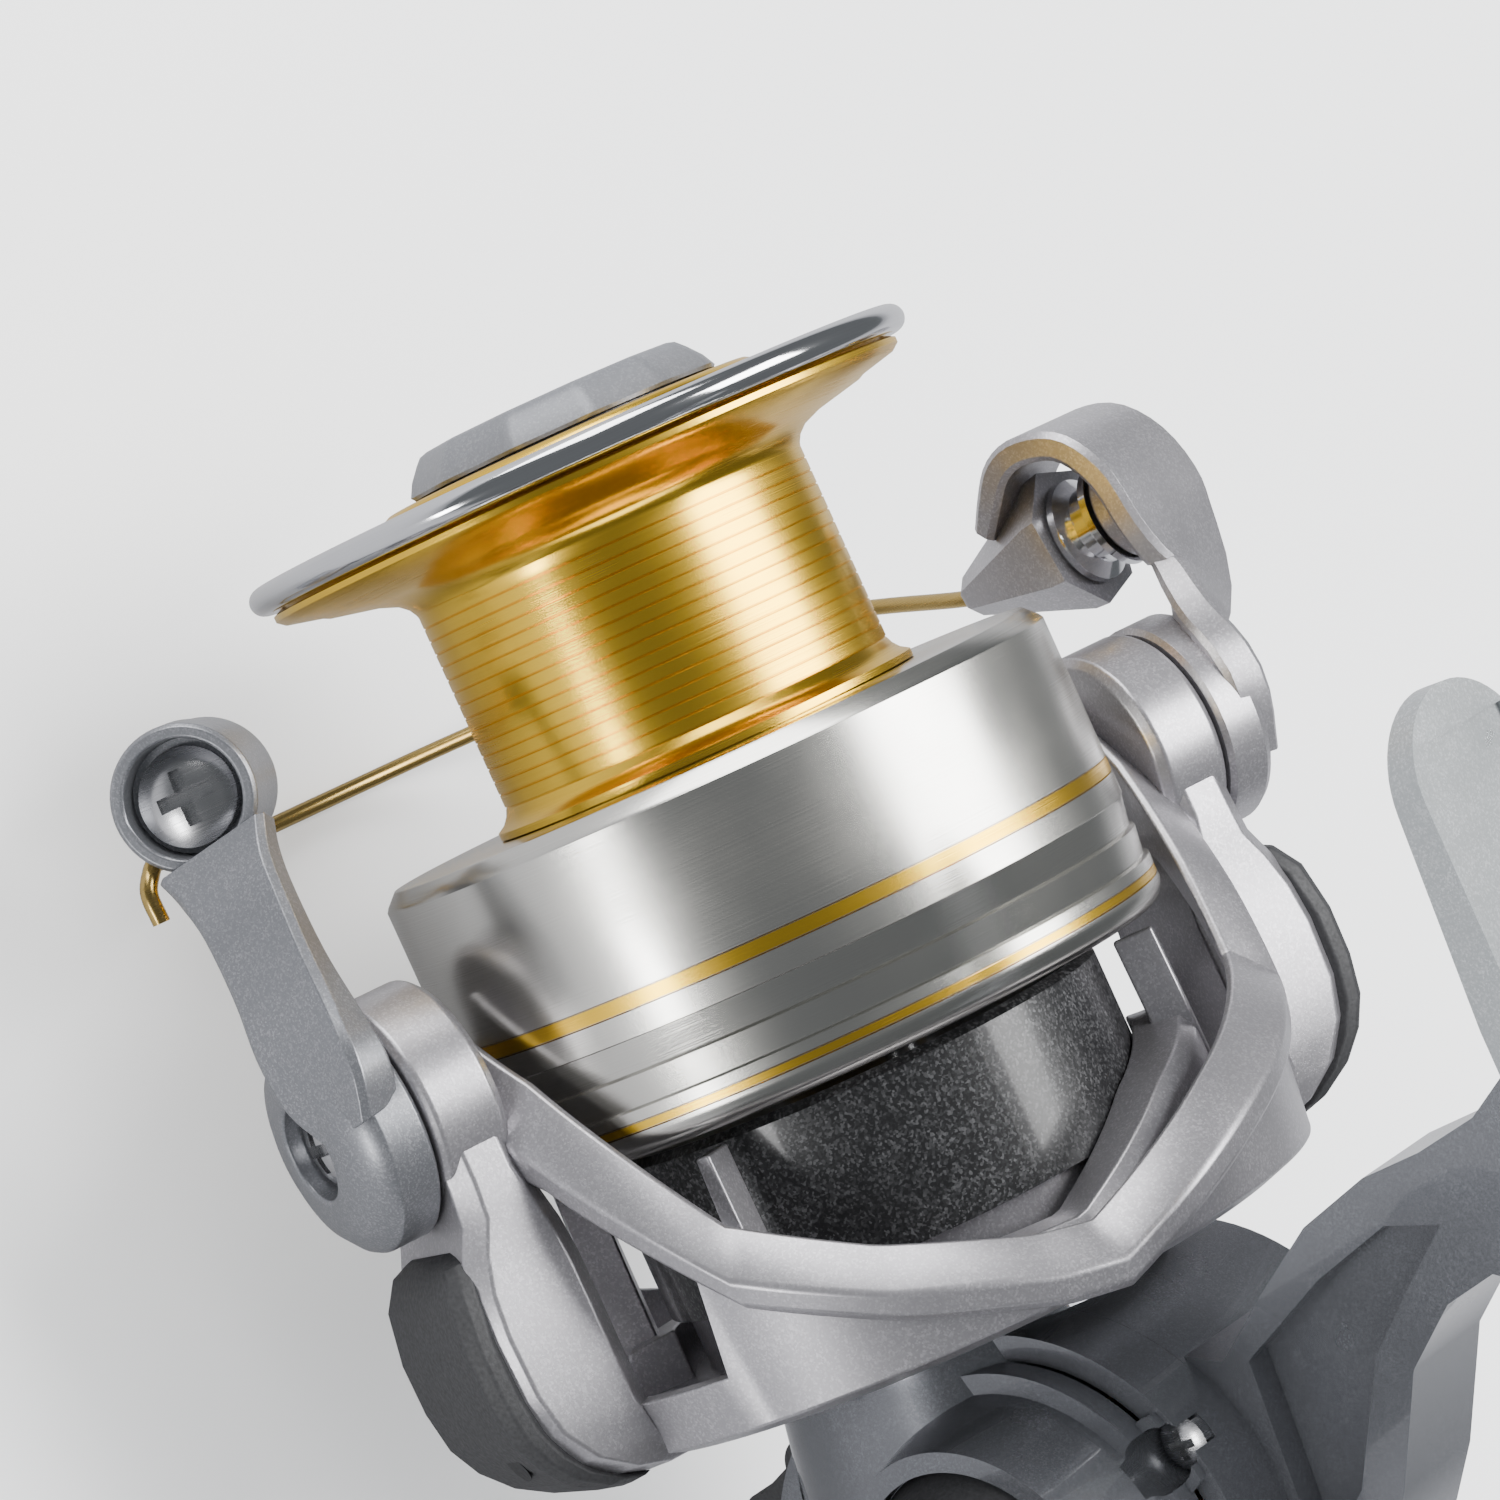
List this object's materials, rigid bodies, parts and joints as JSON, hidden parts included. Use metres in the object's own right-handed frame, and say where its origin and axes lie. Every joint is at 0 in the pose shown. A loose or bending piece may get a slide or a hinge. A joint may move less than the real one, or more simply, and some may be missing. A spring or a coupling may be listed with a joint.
{
  "type": "spinning reel",
  "caption": "Front-drag spinning fishing reel with folding bail, two-arm rotor, stepped metal spool, crank handle with round grip, and a rod foot on a curved stem.",
  "frame": {"origin": "centre of the foot face that seats on the rod", "axes": "+Z out of the foot towards the rod, +X forward along the spool axis, +Y to the handle side"},
  "size_m": [0.1916, 0.1695, 0.1406],
  "materials": {
    "graphite_paint": "glossy dark grey metallic paint",
    "rotor_paint": "satin warm grey metallic paint",
    "foot_silver": "gloss silver paint",
    "gold_anodised": "bright gold anodised, turned",
    "turned_aluminium": "fine turned, polished",
    "chrome_ring": "polished",
    "black_plastic": "fine textured",
    "knob_plastic": "satin metallic grey",
    "grip_rubber": "matt soft grip",
    "gold_wire": "gold titanium-nitride colour",
    "steel": "bright stainless",
    "brass": "machined",
    "felt": "oiled felt",
    "die_cast": "plain die-cast"
  },
  "bodies": {
    "frame": {"body_frame": "graphite_paint", "side_cover": "graphite_paint", "side_cover_screws": "steel", "rear_cover": "black_plastic", "rear_cover_screw": "steel", "clutch_housing": "steel", "clutch_rollers": "steel", "front_bearing": "steel", "rear_bearing": "steel", "drive_bearings": "steel", "guide_rods": "steel", "bail_trip_ramp": "black_plastic", "boss_collar": "black_plastic", "oscillation_screw": "steel"},
    "anti_reverse": {"anti_reverse_lever": "black_plastic"},
    "crank": {"drive_gear": "brass", "handle_hub": "black_plastic", "handle_arm": "graphite_paint", "grip_post": "steel", "handle_cap": "black_plastic"},
    "grip": {"handle_grip": "grip_rubber", "grip_cap": "turned_aluminium"},
    "rotor_group": {"clutch_sleeve": "steel", "pinion_gear": "brass", "rotor": "rotor_paint", "rotor_cup_cover": "black_plastic", "rotor_nut": "brass", "nut_retainer": "steel", "arm_cover_left": "black_plastic", "arm_cover_right": "black_plastic", "arm_cover_screws": "steel", "bail_spring": "steel", "spring_guide": "steel", "bail_pivot_screws": "steel"},
    "bail": {"bail_lever": "graphite_paint", "lever_screw": "steel", "bail_wire": "gold_wire", "wire_holder": "graphite_paint", "roller_arm": "rotor_paint", "roller_bush": "brass", "roller_screw": "steel"},
    "roller": {"line_roller": "chrome_ring"},
    "oscillator": {"oscillation_gear": "die_cast"},
    "shaft": {"main_shaft": "steel", "slider": "die_cast", "slider_screw": "steel", "click_gear": "steel", "drag_keyed_washer": "steel"},
    "spool": {"spool_core": "gold_anodised", "spool_skirt": "turned_aluminium", "lip_ring": "chrome_ring", "drag_washers_steel": "steel", "drag_washers_felt": "felt", "drag_clip": "steel", "click_pawl": "black_plastic"},
    "knob": {"drag_knob": "knob_plastic", "drag_nut": "brass", "drag_spring": "steel"}
  },
  "joints": [
    {"name": "handle_turn", "type": "hinge", "parent": "frame", "child": "crank", "pos_m": [-0.0225, 0, -0.0711], "axis": [0, 1, 0], "continuous": true},
    {"name": "rotor_spin", "type": "hinge", "parent": "frame", "child": "rotor_group", "pos_m": [0.0185, 0, -0.0826], "axis": [1, 0, 0], "continuous": true},
    {"name": "oscillator_spin", "type": "hinge", "parent": "frame", "child": "oscillator", "pos_m": [-0.038, 0, -0.0866], "axis": [0, 1, 0], "continuous": true},
    {"name": "grip_spin", "type": "hinge", "parent": "crank", "child": "grip", "pos_m": [-0.08147, 0, -0.09026], "axis": [0, 1, 0], "continuous": true},
    {"name": "bail_flip", "type": "hinge", "parent": "rotor_group", "child": "bail", "pos_m": [0.0405, 0, -0.0826], "axis": [0, -0.9455, 0.3256], "range_deg": [0, 105]},
    {"name": "line_roller_spin", "type": "hinge", "parent": "bail", "child": "roller", "pos_m": [0.062, -0.0511, -0.06945], "axis": [0.1, -0.1368, 0.9855], "continuous": true},
    {"name": "spool_stroke", "type": "slide", "parent": "frame", "child": "shaft", "axis": [1, 0, 0], "range_m": [-0.016, 0]},
    {"name": "drag_slip", "type": "hinge", "parent": "shaft", "child": "spool", "pos_m": [0.0735, 0, -0.0826], "axis": [1, 0, 0], "continuous": true},
    {"name": "drag_knob_turn", "type": "hinge", "parent": "shaft", "child": "knob", "pos_m": [0.0935, 0, -0.0826], "axis": [1, 0, 0], "range_deg": [-720, 720]},
    {"name": "anti_reverse_flip", "type": "hinge", "parent": "frame", "child": "anti_reverse", "pos_m": [-0.011, 0, -0.1072], "axis": [0, 1, 0], "range_deg": [0, 30]}
  ],
  "couplings": [
    {"joint": "rotor_spin", "follows": "handle_turn", "ratio": 4.5},
    {"joint": "oscillator_spin", "follows": "handle_turn", "ratio": -1}
  ]
}
